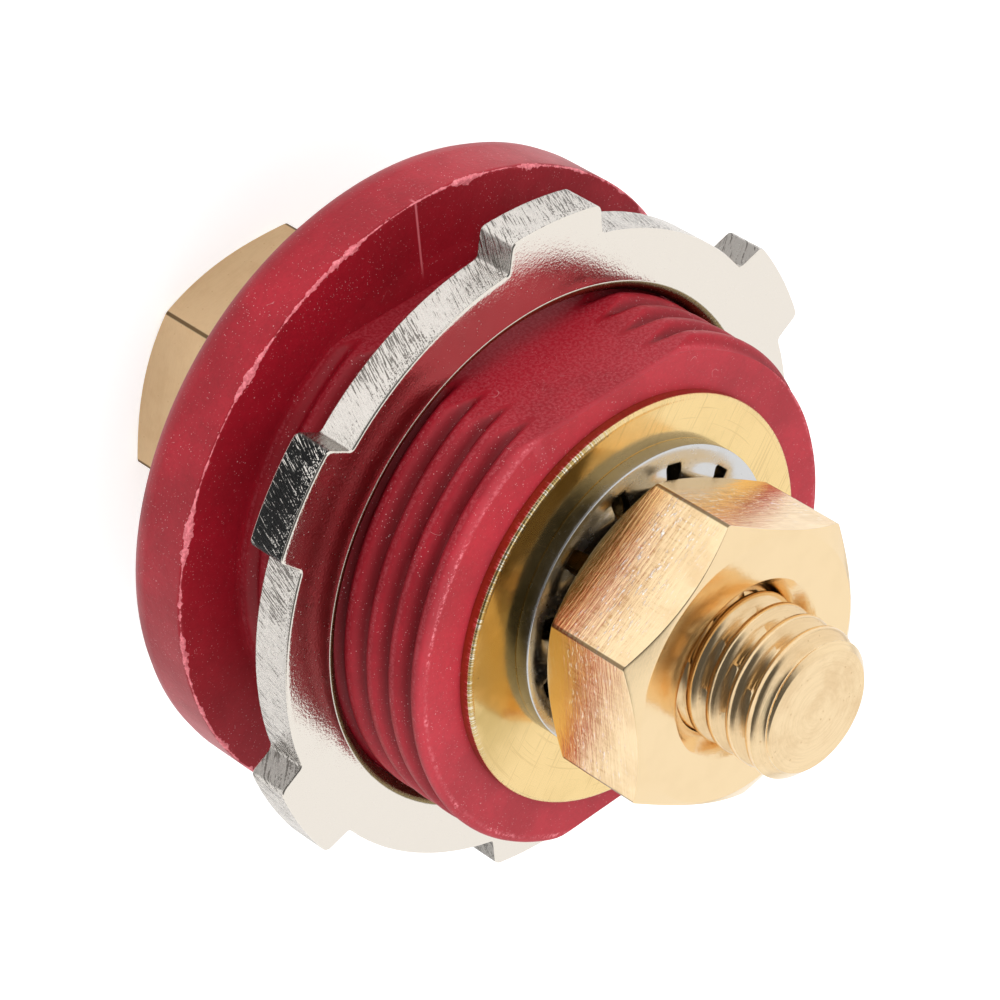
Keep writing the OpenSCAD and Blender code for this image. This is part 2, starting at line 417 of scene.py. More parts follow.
def cut_thread(piece, material, post, values):
    """Cuts a thread of the user's pitch and depth, then tidies the piece"""
    apply_tree(piece, screw_tree(), {"Material": material, "Pitch": post.pitch,
                                     "Depth": post.depth, **values})
    tidy_mesh(piece)


def ring_tree():
    """Repeats one sector of a sheet round the axis and welds the sectors into a ring"""
    tree, w, given, end = shape_tree("Sector ring", {"Count": 6, "Turn": 0.0, "Weld": 0.00001})
    line = w.get("GeometryNodeMeshLine", {"Count": given["Count"], "Offset": (0, 0, 0)},
                 mode="OFFSET")
    step = w.math("DIVIDE", 2 * math.pi, given["Count"])
    about = w.scaled(w.get("GeometryNodeInputIndex"), step, given["Turn"])
    copies = w.get("GeometryNodeInstanceOnPoints", {
        "Points": line, "Rotation": w.vector(z=about), "Instance": given["Geometry"],
    })
    real = w.get("GeometryNodeRealizeInstances", {0: copies})
    joined = w.get("GeometryNodeMergeByDistance", {"Geometry": real, "Distance": given["Weld"]})
    hand_over(w, given, end, joined)
    return tree


# ---------------------------------------------------------------- shader groups


def specks(w, given):
    """Scattered specks: a share of the cells of a pattern holds one, of its own size"""
    cells = w.node("ShaderNodeTexVoronoi",
                   {"Vector": w.coordinates(), "Scale": given["Scale"]}).outputs
    chance = w.node("ShaderNodeSeparateColor", {0: cells["Color"]}).outputs
    inside = w.math("SUBTRACT", w.times(given["Size"], chance[1]), cells["Distance"])
    held = w.math("LESS_THAN", chance[0], given["Amount"])
    return [w.times(w.spread(inside, 0.0, 0.08), held)]


def mottle(w, given):
    """Soft uneven patches, and the same pattern as a height"""
    noise = w.get("ShaderNodeTexNoise", {"Vector": w.coordinates(), "Scale": given["Scale"],
                                         "Detail": given["Detail"], "Roughness": 0.6})
    return [w.spread(noise, given["Low"], given["High"]), noise]


def tool_lines(w, given):
    """Fine tool lines: a noise drawn out along one axis of the given coordinates"""
    spot = w.get("ShaderNodeVectorMath", {0: given["Vector"], 1: given["Density"]},
                 operation="MULTIPLY")
    noise = w.get("ShaderNodeTexNoise",
                  {"Vector": spot, "Scale": 1.0, "Detail": 3.0, "Roughness": 0.65})
    return [w.spread(noise, given["Low"], given["High"]), noise]


def turned_coordinates(w, _):
    """Coordinates of a turned piece: distance from the axis, angle and height"""
    x, y, z = w.parts(w.coordinates())
    radius, about = w.hypot(x, y), w.math("ARCTAN2", y, x)
    return [w.vector(radius, about, z), radius, about, z]


def upright_faces(w, given):
    """Faces that stand parallel to the axis: all below a slant of Low, none above High"""
    slant = w.math("ABSOLUTE", w.parts(w.coordinates("Normal"))[2])
    return [w.spread(slant, given["Low"], given["High"], 1.0, 0.0)]


def hexagon_corners(w, given):
    """Nearness to a corner of a hexagon, seen along the axis"""
    off = w.math("PINGPONG", w.math("SUBTRACT", given["Angle"], given["Turn"]), math.pi / 6)
    return [w.spread(off, w.times(given["Reach"], 0.5), given["Reach"], 1.0, 0.0)]


SHADER_GROUPS = {  # name: what wires it, its inputs and its outputs
    "Specks": (specks, {"Scale": 3000.0, "Size": 0.3, "Amount": 0.2}, ["Mask"]),
    "Mottle": (mottle, {"Scale": 300.0, "Detail": 4.0, "Low": 0.35, "High": 0.65},
               ["Mask", "Height"]),
    "Tool lines": (tool_lines, {"Vector": (0.0, 0.0, 0.0), "Density": (1000.0, 1000.0, 1000.0),
                                "Low": 0.4, "High": 0.6}, ["Mask", "Height"]),
    "Turned coordinates": (turned_coordinates, {}, ["Vector", "Radius", "Angle", "Height"]),
    "Upright faces": (upright_faces, {"Low": 0.2, "High": 0.35}, ["Mask"]),
    "Hexagon corners": (hexagon_corners, {"Angle": 0.0, "Turn": 0.0, "Reach": 0.01}, ["Mask"]),
}


def shader_group(name):
    """One of the shader groups, made when it is first asked for"""
    tree = bpy.data.node_groups.get(name)
    if tree is None:
        wire, inputs, outputs = SHADER_GROUPS[name]
        kinds = {title: SOCKETS[tuple if title == "Vector" else float] for title in outputs}
        tree, w, given, end = new_tree(name, "ShaderNodeTree", inputs, kinds)
        for socket, value in zip(end.inputs, wire(w, given)):
            w.feed(socket, value)
    return tree


class Finish(Wiring):
    """A material under construction"""

    def __init__(self, name):
        self.material = bpy.data.materials.new(name)
        self.material.use_nodes = True
        super().__init__(self.material.node_tree)
        self.tree.nodes.clear()

    def group(self, name, **sockets):
        node = self.node("ShaderNodeGroup", node_tree=shader_group(name))
        for key, value in sockets.items():
            self.feed(node.inputs[key], value)
        return node.outputs

    def specks(self, scale, size, amount):
        return self.group("Specks", Scale=scale, Size=size, Amount=amount)["Mask"]

    def mottle(self, scale, detail, low=0.35, high=0.65):
        return self.group("Mottle", Scale=scale, Detail=detail, Low=low, High=high)

    def strokes(self, vector, density, low=0.4, high=0.6):
        return self.group("Tool lines", Vector=vector, Density=density, Low=low, High=high)

    def upright(self, low, high):
        return self.group("Upright faces", Low=low, High=high)["Mask"]

    def corners(self, turned, turn, reach_out):
        return self.group("Hexagon corners", Angle=turned["Angle"], Turn=turn,
                          Reach=reach_out)["Mask"]

    def past(self, value, edge, low, high, start=0.0, end=1.0):
        """start..end between two places past an edge, in millimetres"""
        return self.spread(value, edge + low * MM, edge + high * MM, start, end)

    def toward(self, turned, turn):
        """1 on the side of the axis that lies at the angle turn, down to -1 across from it"""
        return self.math("COSINE", self.math("SUBTRACT", turned["Angle"], turn))

    def uneven(self, pattern, low, high):
        """A roughness between low and high that follows a pattern's height"""
        return self.spread(pattern["Height"], 0.3, 0.7, low, high)

    def blend(self, factor, first, second):
        """A colour between two colours"""
        node = self.node("ShaderNodeMix", {0: factor}, data_type="RGBA")
        for index, value in ((6, first), (7, second)):
            is_socket = isinstance(value, bpy.types.NodeSocket)
            self.feed(node.inputs[index], value if is_socket else opaque(value))
        return node.outputs[2]

    def layers(self, base, *layers):
        """A colour under layers of (colour, factors): each covers by the factors' product"""
        for shade, *factors in layers:
            base = self.blend(self.times(*factors), base, shade)
        return base

    def bumps(self, *layers):
        """The normal under layers of (height, depth in millimetres, strength)"""
        below = {}
        for height, depth, strength in layers:
            normal = self.get("ShaderNodeBump", {"Height": height, "Distance": depth * MM,
                                                 "Strength": strength, **below})
            below = {"Normal": normal}
        return normal

    def surface(self, base, roughness, normal, **plain):
        """Ends the material in one Principled shader with plain values for the rest"""
        shader = self.node("ShaderNodeBsdfPrincipled", {"Base Color": base, "Normal": normal,
                                                        "Roughness": roughness})
        for key, value in plain.items():
            shader.inputs[key.replace("_", " ")].default_value = value
        self.node("ShaderNodeOutputMaterial", {"Surface": shader.outputs[0]})
        return self.material


def opaque(rgb):
    return (*rgb, 1.0)


# ---------------------------------------------------------------- shapes


def new_object(name, data):
    made = bpy.data.objects.new(name, data)
    bpy.context.scene.collection.objects.link(made)
    return made


def new_piece(name, points, faces):
    mesh = bpy.data.meshes.new(name)
    mesh.from_pydata(points, [], faces)
    return new_object(name, mesh)


def rounded(corners, steps):
    """The closed outline through corners (u, v, radius, parts): each corner is rounded in steps,
    and the straight that follows it is cut into parts"""
    tangents = []
    for index, (u, v, radius, _) in enumerate(corners):
        here = np.array((u, v))
        back = np.array(corners[index - 1][:2]) - here
        ahead = np.array(corners[(index + 1) % len(corners)][:2]) - here
        back = back / max(np.linalg.norm(back), 1e-12)
        ahead = ahead / max(np.linalg.norm(ahead), 1e-12)
        turn = math.pi - math.acos(max(-1.0, min(1.0, float(back @ ahead))))
        cut = radius * math.tan(turn / 2)
        tangents.append((here + back * cut, here, here + ahead * cut, math.cos(turn / 2)))
    points = []
    for index, (start, tip, finish, weight) in enumerate(tangents):
        _, _, radius, parts = corners[index]
        if radius > 0:
            for step in range(steps + 1):
                s = step / steps
                near, bend, far = (1 - s) ** 2, 2 * weight * s * (1 - s), s * s
                points.append((near * start + bend * tip + far * finish) / (near + bend + far))
        else:
            points.append(tip)
        following = tangents[(index + 1) % len(tangents)][0]
        if parts > 1:
            gap = np.linalg.norm(following - points[-1])
            margin = min(SPREAD / gap, 0.5 / parts) if gap > 0 else 0.0
            for part in np.linspace(margin, 1 - margin, parts - 1 if parts > 2 else 1):
                points.append(finish + (following - finish) * part)
    return np.array(points)


def skin(name, rings, capped=False):
    """A closed mesh over rings of points, shaped (ring, point, 3). It closes round both ways, or
    ends in a single point at each end when it is capped."""
    rows, size, _ = rings.shape
    around = np.arange(size)
    beside = (around + 1) % size

    def strip(low, high):
        return np.stack([low + around, low + beside, high + beside, high + around], 1).tolist()

    faces = []
    if capped:
        points = np.vstack([rings[0, :1], rings[1:-1].reshape(-1, 3), rings[-1, :1]])
        last = 1 + (rows - 3) * size
        for low in range(1, last, size):
            faces += strip(low, low + size)
        faces += np.stack([0 * around, 1 + beside, 1 + around], 1).tolist()
        top = np.full(size, len(points) - 1)
        faces += np.stack([last + around, last + beside, top], 1).tolist()
    else:
        points = rings.reshape(-1, 3)
        for row in range(rows):
            faces += strip(row * size, (row + 1) % rows * size)
    return new_piece(name, points.tolist(), faces)


def tidy_mesh(piece):
    """Welds, turns the faces outwards and shades them smooth"""
    work = bmesh.new()
    work.from_mesh(piece.data)
    bmesh.ops.remove_doubles(work, verts=work.verts, dist=WELD)
    bmesh.ops.dissolve_degenerate(work, edges=work.edges, dist=WELD)
    bmesh.ops.recalc_face_normals(work, faces=work.faces)
    work.to_mesh(piece.data)
    work.free()
    piece.data.shade_smooth()
    piece.data.set_sharp_from_angle(angle=SHARP)
    piece.data.update()


def lathe(name, turns, section, capped=False):
    """Turns section(angle), a list of (distance, height), round the axis"""
    outlines = np.array([section(turn) for turn in turns])
    out, up = outlines[..., 0], outlines[..., 1]
    cos, sin = np.cos(turns)[:, None], np.sin(turns)[:, None]
    rings = np.stack([out * cos, out * sin, up], -1).transpose(1, 0, 2)
    return skin(name, rings, capped)


def even_turns(number_of):
    return np.linspace(0, 2 * math.pi, number_of, endpoint=False)


def hex_turns(turn):
    """Angles round a hexagon: 26 over each flat and 9 close together at its corner"""
    half, near = math.pi / 6, 0.05
    flat = np.linspace(-1, 1, 26) * (half - near)
    edge = np.linspace(half - near, half + near, 11)[1:-1]
    sector = np.concatenate([flat, edge])
    return np.concatenate([sector + turn + half + k * math.pi / 3 for k in range(6)])


def hex_reach(corner_r, turn, about, edge):
    """Distance of a hexagon's rounded outline from its axis in one direction"""
    apothem = corner_r * math.cos(math.pi / 6)
    off = (about - turn) % (math.pi / 3) - math.pi / 6
    near = apothem / math.cos(off)
    beside = apothem / math.cos(math.pi / 3 - abs(off))
    gap = max(edge - abs(near - beside), 0) / edge
    return min(near, beside) - edge * gap * gap / 4


def seat(piece, body, node):
    """Puts a finished piece in the place of its CAD node"""
    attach(piece, body)
    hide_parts(node)


# ---------------------------------------------------------------- finishes


def moulding_finish(post):
    """Matt red moulding: denser patches, painted shade over the thread and at the flange's recess,
    dust and fibres, rubbed edges and the torn flash
    """
    f = Finish("moulded_insulator")
    turned = f.group("Turned coordinates")
    radius, height = turned["Radius"], turned["Height"]
    x, y, _ = f.parts(f.coordinates())
    crest = f.get("ShaderNodeAttribute", output="Fac", attribute_name="crest")
    patches = f.mottle(160.0, 4.0, 0.36, 0.64)
    grain = f.mottle(4200.0, 3.0, 0.4, 0.66)
    threaded = f.times(f.past(height, seat_z, 0.0, 0.2),
                       f.past(height, face_z, -0.6, -0.2, 1.0, 0.0))
    # Painted shade: darkens the threaded barrel, most in the thread's valleys
    sunk_shade = f.times(threaded, f.spread(crest, 0.0, 0.95, 0.95, 0.3))
    # Paler red over the barrel's front face
    front_tint = f.past(height, face_z, -0.6, -0.1, 0.0, 0.12)
    # Painted shade: darker red over the flange's front face and the barrel's foot, fading up the
    # barrel
    recess_shade = f.times(f.past(height, seat_z, -0.2, -0.05),
                     f.past(height, seat_z, 3.0, 5.0, 0.4, 0.0))

    # Rubbed crests and front rim
    rubbed = f.times(f.spread(crest, 0.96, 1.0), threaded, 0.12)
    broken = f.strokes(turned["Vector"], (900.0, 5.0, 0.0), 0.45, 0.62)["Mask"]
    rim = f.times(f.past(radius, barrel_r, -0.75, -0.5),
                  f.past(radius, barrel_r, -0.5, -0.3, 1.0, 0.0),
                  f.past(height, face_z, -0.4, -0.15), f.scaled(broken, 0.7, 0.2))
    scuff = f.mottle(5200.0, 5.0, 0.42, 0.6)["Mask"]
    worn = f.times(f.most(rubbed, rim), scuff)

    # Torn flash round the flange's front edge
    tear = f.strokes(turned["Vector"], (0.0, 3.4, 0.0), 0.44, 0.72)["Mask"]
    nibble = f.mottle(2600.0, 5.0)["Height"]
    wide = f.times(f.scaled(tear, post.flash * 2.2, 0.14 * MM), f.scaled(nibble, 2.0, -0.35))
    off_edge = f.most(f.math("SUBTRACT", flange_r, radius),
                      f.times(f.math("SUBTRACT", seat_z, height), 1.5))
    flake = f.mottle(3800.0, 3.0)["Mask"]
    ragged = f.times(f.past(f.math("SUBTRACT", wide, off_edge), 0.0, -0.01, 0.03),
                     f.scaled(flake, 0.5, 0.5))

    # Thin pale line across the flange's front face
    off_line = f.math("ABSOLUTE", f.math("ADD", x, 0.1 * MM))
    knit = f.times(f.past(off_line, 0.0, 0.03, 0.12, 1.0, 0.0),
                   f.past(y, 0.0, 15.6, 17.0, 0.0, 0.6),
                   f.past(height, seat_z, -0.6, -0.2),
                   f.past(height, seat_z, 0.1, 0.2, 1.0, 0.0))

    # Dust, motes and fibres
    drift = f.mottle(420.0, 4.0, 0.42, 0.68)["Mask"]
    curl = f.math("ABSOLUTE", f.math("SUBTRACT", f.mottle(230.0, 2.0)["Height"], 0.5))
    strand = f.times(f.spread(curl, 0.0006, 0.002, 1.0, 0.0),
                     f.mottle(520.0, 1.0, 0.68, 0.72)["Mask"], 0.3)
    dust = f.most(f.times(f.specks(8500.0, 0.36, 0.42), 0.42),
                  f.times(f.specks(3300.0, 0.2, 0.12), 0.55))
    dust = f.most(f.times(dust, f.scaled(drift, 0.75, 0.25)), strand)

    base = f.layers(post.red, (post.dark, patches["Mask"], 0.45), (post.dark, grain["Mask"], 0.2),
                    (post.dark, sunk_shade), (FRONT_TINT, front_tint), (post.dark, recess_shade),
                    (post.scuffed, f.most(f.most(worn, knit), ragged)), (DUST, dust))
    roughness = f.math("ADD", f.past(height, seat_z, -0.3, 0.0, 0.36, 0.5),
                       f.uneven(patches, -0.04, 0.05))
    normal = f.bumps((grain["Height"], 0.03, 0.45), (patches["Height"], 0.2, 0.3),
                     (f.most(dust, ragged), 0.04, 0.6))
    return f.surface(base, roughness, normal, Specular_IOR_Level=0.3)


def turned_brass_finish(post):
    """Bar brass: turning lines round the axis, a head dulled by tarnish and by painted shade, a
    thread darkened by painted shade, and fine pits
    """
    f = Finish("turned_brass")
    turned = f.group("Turned coordinates")
    height = turned["Height"]
    lines = f.strokes(turned["Vector"], (6500.0, 1.0, 9000.0), 0.42, 0.62)
    stain = f.mottle(420.0, 5.0, 0.45, 0.7)
    pits = f.specks(4200.0, 0.36, 0.14)
    head = f.past(height, flange_z, -0.05, 0.0, 1.0, 0.0)
    corner = f.times(f.corners(turned, post.head_turn, 0.016), head, f.upright(0.2, 0.35))
    # Painted shade: the stud's thread, up to its last half millimetre, is darkened with worn brass
    thread = f.times(f.math("SUBTRACT", 1.0, head), f.past(height, stud_end, -1.0, -0.5, 0.6, 0.0))
    tip = f.past(height, stud_end, -0.2, -0.05, 1.0, 0.35)
    # The head's dull brass is tarnish and painted shade
    base = f.layers(post.gold, (post.worn, stain["Mask"], 0.3), (post.worn, pits, 0.5),
                    (post.worn, lines["Mask"], 0.12), (post.dull, head, 0.5),
                    (post.line, corner, 0.85), (post.worn, thread, 0.4))
    roughness = f.scaled(head, 0.14, f.uneven(stain, 0.15, 0.26))
    normal = f.bumps((f.times(lines["Height"], tip), 0.014, 0.55), (stain["Height"], 0.09, 0.3))
    return f.surface(base, roughness, normal, Metallic=1.0)


def nut_brass_finish(post):
    """Drawn hexagon brass: milling lines along the flats, smooth turned faces, fine pits painted as
    glints, and a painted reflection of the washer at the flats' rear
    """
    f = Finish("nut_brass")
    turned = f.group("Turned coordinates")
    height = turned["Height"]
    place = f.coordinates()
    across = f.strokes(place, (420.0, 420.0, 7000.0), 0.42, 0.58)
    dashes = f.strokes(place, (5200.0, 5200.0, 420.0), 0.5, 0.62)
    glints = f.strokes(place, (1300.0, 1300.0, 6000.0), 0.6, 0.66)["Mask"]
    rings = f.strokes(turned["Vector"], (7000.0, 1.0, 600.0), 0.45, 0.62)["Height"]
    stain = f.mottle(420.0, 5.0, 0.42, 0.68)
    flat = f.upright(0.2, 0.35)
    band = f.times(f.past(height, nut_z, 1.2, 2.6), f.past(height, nut_z, 3.6, 7.4, 1.0, 0.12),
                   flat)
    streaks = f.times(across["Mask"], f.scaled(dashes["Mask"], 0.6, 0.4), band)
    # Painted reflection: yellower brass at the rear of the flats, where they mirror the flat washer
    rear = f.times(f.past(height, nut_z, 1.4, 2.8, 0.7, 0.0), flat)
    # Painted glints: bright specks and short dashes in the flats' band
    pits = f.times(f.most(f.specks(5200.0, 0.42, 0.2), glints), band)
    corner = f.times(f.corners(turned, post.nut_turn, 0.017), flat)
    base = f.layers(post.gold, (post.worn, stain["Mask"], f.scaled(flat, 0.25, 0.05)),
                    (WASHER_REFLECTION, rear), (post.worn, streaks, 0.95), (GLINT, pits),
                    (post.line, corner, 0.8))
    milled = f.times(f.math("ADD", across["Height"], f.times(dashes["Height"], 0.5)), flat)
    cut = f.math("ADD", milled, f.times(rings, f.scaled(flat, -0.2, 0.2)))
    normal = f.bumps((cut, 0.026, 0.6), (stain["Height"], 0.08, 0.3), (pits, 0.02, 0.35))
    return f.surface(base, f.spread(flat, 0.0, 1.0, 0.15, 0.18), normal, Metallic=1.0)


def nickel_finish(locknut):
    """Bright plate over stamped steel: a pitted polish in front, torn streaks on the sheared
    edge, painted shade on the lobes' flanks and at the bore, and a painted dark reflection
    in the streaks at one lobe's tip"""
    f = Finish("nickel_plate")
    turned = f.group("Turned coordinates")
    radius, height = turned["Radius"], turned["Height"]
    pits = f.specks(6400.0, 0.3, 0.3)
    haze = f.mottle(900.0, 6.0, 0.4, 0.65)
    fine = f.mottle(6500.0, 2.0)["Height"]
    # Painted dark reflection: more streaks, and black ones, at the tip of one lobe
    dark = f.times(f.spread(f.toward(turned, locknut.dark_reflection_turn), 0.95, 0.975),
                   f.past(radius, lobe_r, -0.5, -0.15))
    front = f.spread(height, locknut_z + 1.2 * MM, locknut_top - 0.3 * MM)

    # Streaks that the shearing tore, slanted and uneven round the ring
    slanted = f.vector(f.scaled(height, -22.0, turned["Angle"]), height)
    torn = f.strokes(slanted, (200.0, 650.0, 1.0))["Height"]
    grit = f.mottle(7500.0, 2.0, 0.3, 0.7)["Mask"]
    smooth = f.strokes(turned["Vector"], (0.0, 2.1, 0.0), 0.42, 0.6)["Mask"]
    calm = f.scaled(front, 0.03, f.scaled(smooth, 0.13, 0.01))
    streak = f.math("ADD", torn, f.times(f.scaled(grit, 0.22, -0.11), f.scaled(front, 0.8, 0.2)))
    streak = f.math("ADD", streak, f.scaled(dark, -0.138, calm))
    streak = f.spread(streak, 0.48, 0.535)

    outward = f.math("DIVIDE", f.dot(f.coordinates(), f.coordinates("Normal")), radius)
    # Painted shade: darker where the sheared edge faces sideways, on the lobes' flanks
    flank_shade = f.spread(outward, 0.6, 0.85, 0.6, 0.0)
    # Painted shade: dark olive-brown over the bore, its bevels and a thin ring of the face round
    # them
    mouth = f.past(radius, locknut_bore_r, 0.7, 0.8, 1.0, 0.0)
    side = f.most(f.upright(0.12, 0.35), mouth)
    edge = f.blend(streak, f.blend(dark, BARE_STEEL, DARK_REFLECTION), locknut.sheared)
    edge = f.layers(edge, (FLANK_SHADE, flank_shade), (BORE_SHADE, mouth))
    base = f.layers(locknut.nickel, (edge, side), (PALE_PIT, pits, 0.4))
    roughness = f.math("ADD", f.uneven(haze, 0.07, 0.15), f.times(side, 0.14))
    roughness = f.scaled(pits, 0.3, roughness)
    normal = f.bumps((f.times(torn, side), 0.12, 0.9), (fine, 0.02, 0.6),
                     (haze["Height"], 0.02, 0.3))
    return f.surface(base, roughness, normal, Metallic=1.0)


def washer_brass_finish(washers):
    """Rolled brass: polished, scratched face, a nicked rim, a coppery sheared edge and a painted
    dark reflection over one side
    """
    f = Finish("washer_brass")
    turned = f.group("Turned coordinates")
    leaning = f.get("ShaderNodeMapping", {"Vector": f.coordinates(), "Rotation": (0.0, 0.0, 0.7)})
    fine = f.strokes(leaning, (6800.0, 160.0, 160.0), 0.56, 0.64)
    arcs = f.strokes(turned["Vector"], (5200.0, 1.6, 10.0), 0.6, 0.66)["Mask"]
    ticks = f.strokes(turned["Vector"], (200.0, 120.0, 150.0), 0.48, 0.6)
    stain = f.mottle(260.0, 4.0, 0.45, 0.75)
    cloud = f.mottle(240.0, 3.0, 0.32, 0.62)["Mask"]
    spots = f.specks(1500.0, 0.14, 0.1)
    # Painted reflection: brown over one side, broken by a cloud, where the washer mirrors the nut;
    # the faint mottle over all of it is stain
    tarnish_and_reflection = f.times(f.spread(f.toward(turned, 2.6), 0.35, 0.98), f.scaled(cloud, 0.6, 0.3))
    tarnish_and_reflection = f.most(tarnish_and_reflection, f.times(stain["Mask"], 0.15))
    marks = f.times(f.most(arcs, fine["Mask"]), 0.3)
    roll = f.times(f.past(turned["Radius"], washer_r, -0.4, -0.2),
                   f.past(turned["Height"], washer_top, -0.5, -0.2))
    hit = f.spread(f.toward(turned, 2.5), 0.5, 0.9)
    base = f.layers(washers.gold, (washers.tarnish_and_reflection, tarnish_and_reflection), (SCRATCH, marks),
                    (washers.copper, f.upright(0.15, 0.4), 0.75), (SPOT, spots, 0.8),
                    (NICK, ticks["Mask"], roll, hit))
    normal = f.bumps((fine["Height"], 0.008, 0.5), (f.times(ticks["Height"], roll), 0.05, 0.9),
                     (stain["Height"], 0.07, 0.25))
    return f.surface(base, f.uneven(stain, 0.13, 0.23), normal, Metallic=1.0)


def steel_finish(washers):
    """Plated spring steel: dull polish with dark and pale specks"""
    f = Finish("spring_steel")
    pits = f.specks(5600.0, 0.42, 0.3)
    grains = f.specks(4100.0, 0.36, 0.22)
    haze = f.mottle(700.0, 5.0, 0.4, 0.66)
    base = f.layers(washers.steel, (PALE_SPECK, pits, 0.4), (DARK_SPECK, grains, 0.35),
                    (TOOTH_WALL, f.upright(0.3, 0.6), 0.75))
    normal = f.bumps((haze["Height"], 0.04, 0.4), (pits, 0.02, 0.5))
    return f.surface(base, f.uneven(haze, 0.16, 0.3), normal, Metallic=1.0)


# ---------------------------------------------------------------- pieces


class POST_OT_moulding(bpy.types.Operator):
    """Make the red moulding: flange, threaded double-D barrel and the hole for the stud"""
    bl_idname = "post.moulding"
    bl_label = "Make the moulding"

    def execute(self, context):
        post = context.scene.post_moulding
        seam = 0.12 * MM   # least rounding of the flange's front edge
        small = 0.2 * MM   # rounding of the edges at the hole and the barrel's foot

        def section(turn):
            tear = (0.5 + 0.3 * math.sin(23 * turn + 1)
                    + 0.2 * math.sin(57 * turn + 2 * math.sin(9 * turn)))
            chip = seam + post.flash * 0.6 * tear * abs(math.sin(3.5 * turn + 0.8))
            return rounded([
                (hole_r, flange_z, small, 6),
                (flange_r, flange_z, post.back, 6),
                (flange_r, seat_z, chip, 8),
                (barrel_r, seat_z, small, 92),
                (barrel_r, face_z, post.rim, 7),
                (hole_r, face_z, small, 4),
            ], 5)

        piece = lathe("moulding", even_turns(576), section)
        cut_thread(piece, moulding_finish(post), post, {
            "Crest Radius": barrel_r,
            "Crest Height": seat_z + post.crest,
            "Start": seat_z + 0.01 * MM,
            "Run-in": post.pitch,
            "Blend": post.blend,
            "Flat": barrel_flat,
        })
        seat(piece, "post", "insulator")
        return {"FINISHED"}


class POST_OT_bolt(bpy.types.Operator):
    """Make the stud bolt: a tall hexagonal head and the threaded stud"""
    bl_idname = "post.bolt"
    bl_label = "Make the stud bolt"

    def execute(self, context):
        post = context.scene.post_brass
        face_r = head_corner_r - post.drop / CHAMFER
        rim, tip = 0.08 * MM, 0.15 * MM  # rounding of the head's chamfer and the stud's

        def section(turn):
            out = hex_reach(head_corner_r, post.head_turn, turn, post.edge)
            return rounded([
                (0.0, 0.0, 0.0, 3),
                (face_r, 0.0, rim, 1),
                (out, (out - face_r) * CHAMFER, rim, 6),
                (out, flange_z, 0.05 * MM, 4),
                (stud_r, flange_z, 0.1 * MM, 200),
                (stud_r, stud_end - (stud_r - stud_tip_r), tip, 26),
                (stud_tip_r, stud_end, tip, 5),
                (0.0, stud_end, 0.0, 1),
            ], 3)

        piece = lathe("bolt", hex_turns(post.head_turn), section, capped=True)
        cut_thread(piece, turned_brass_finish(post), post, {
            "Crest Radius": stud_r,
            "Crest Height": stud_end - post.crest,
            "Start": flange_z + 6 * MM,
            "Run-in": 2 * post.pitch,
            "Blend": 0.3 * MM,
        })
        seat(piece, "post", "stud_bolt")
        return {"FINISHED"}


class POST_OT_nut(bpy.types.Operator):
    """Make the hex nut: chamfered and countersunk, with its thread on the stud's"""
    bl_idname = "post.nut"
    bl_label = "Make the hex nut"

    def execute(self, context):
        post = context.scene.post_brass
        face_r = nut_corner_r - post.drop / CHAMFER
        sink_r = nut_bore_r + post.sink
        core_r = nut_bore_r - post.depth
        deep = sink_r - core_r
        rim, inner = 0.06 * MM, 0.05 * MM  # rounding of the edges outside and in the bore

        def section(turn):
            out = hex_reach(nut_corner_r, post.nut_turn, turn, post.edge)
            fall = (out - face_r) * CHAMFER
            return rounded([
                (sink_r, nut_z, rim, 4),
                (face_r, nut_z, rim, 1),
                (out, nut_z + fall, rim, 8),
                (out, nut_top - fall, rim, 2),
                (face_r, nut_top, rim, 4),
                (sink_r, nut_top, 0.08 * MM, 8),
                (core_r, nut_top - deep, inner, 60),
                (core_r, nut_z + deep, inner, 8),
            ], 3)

        piece = lathe("nut", hex_turns(post.nut_turn), section)
        cut_thread(piece, nut_brass_finish(post), post, {
            "Crest Radius": stud_r + post.slack,
            "Crest Height": stud_end - post.crest,
            "Run-in": 0.01 * MM,
            "Fullness": 1.85,
            "Blend": 0.05 * MM,
            "Internal": 1.0,
        })
        seat(piece, "hex_nut", "hex_nut")
        return {"FINISHED"}


